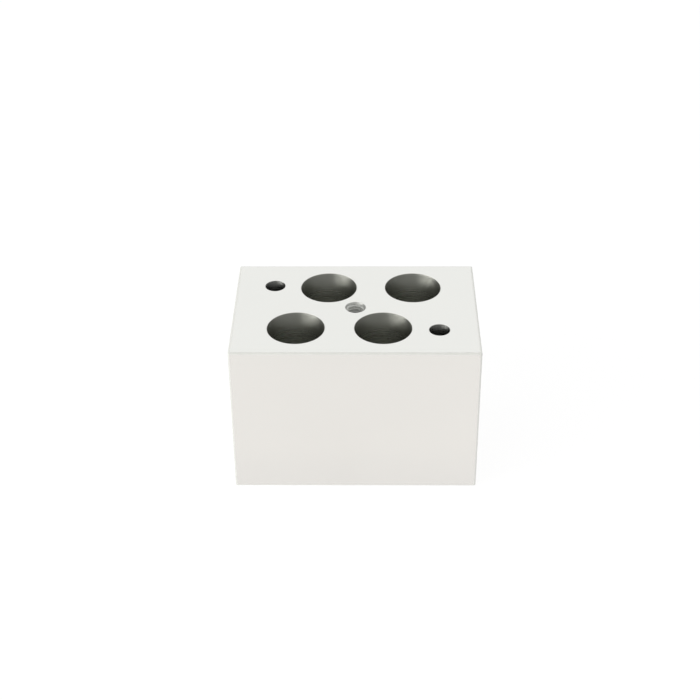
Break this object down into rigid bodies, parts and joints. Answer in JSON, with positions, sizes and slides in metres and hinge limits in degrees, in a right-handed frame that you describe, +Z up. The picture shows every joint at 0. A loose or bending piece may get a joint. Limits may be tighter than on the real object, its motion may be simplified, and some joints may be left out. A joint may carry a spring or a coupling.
{
  "type": "heat block insert",
  "caption": "Rectangular aluminium block with cone-bottomed wells for conical tubes, straight thermometer wells and a tapped lifting hole, which sits in a dry bath and warms the tubes.",
  "frame": {"origin": "middle of the base, on the surface that the block stands on", "axes": "+X to the block's right along its long side, +Y to its back, +Z up out of the wells' mouths"},
  "size_m": [0.075, 0.051, 0.05],
  "materials": {
    "block_aluminium": "clear anodised, fine matte, with bare tool marks in the wells"
  },
  "bodies": {
    "root": {"heat_block": "block_aluminium"}
  },
  "joints": []
}
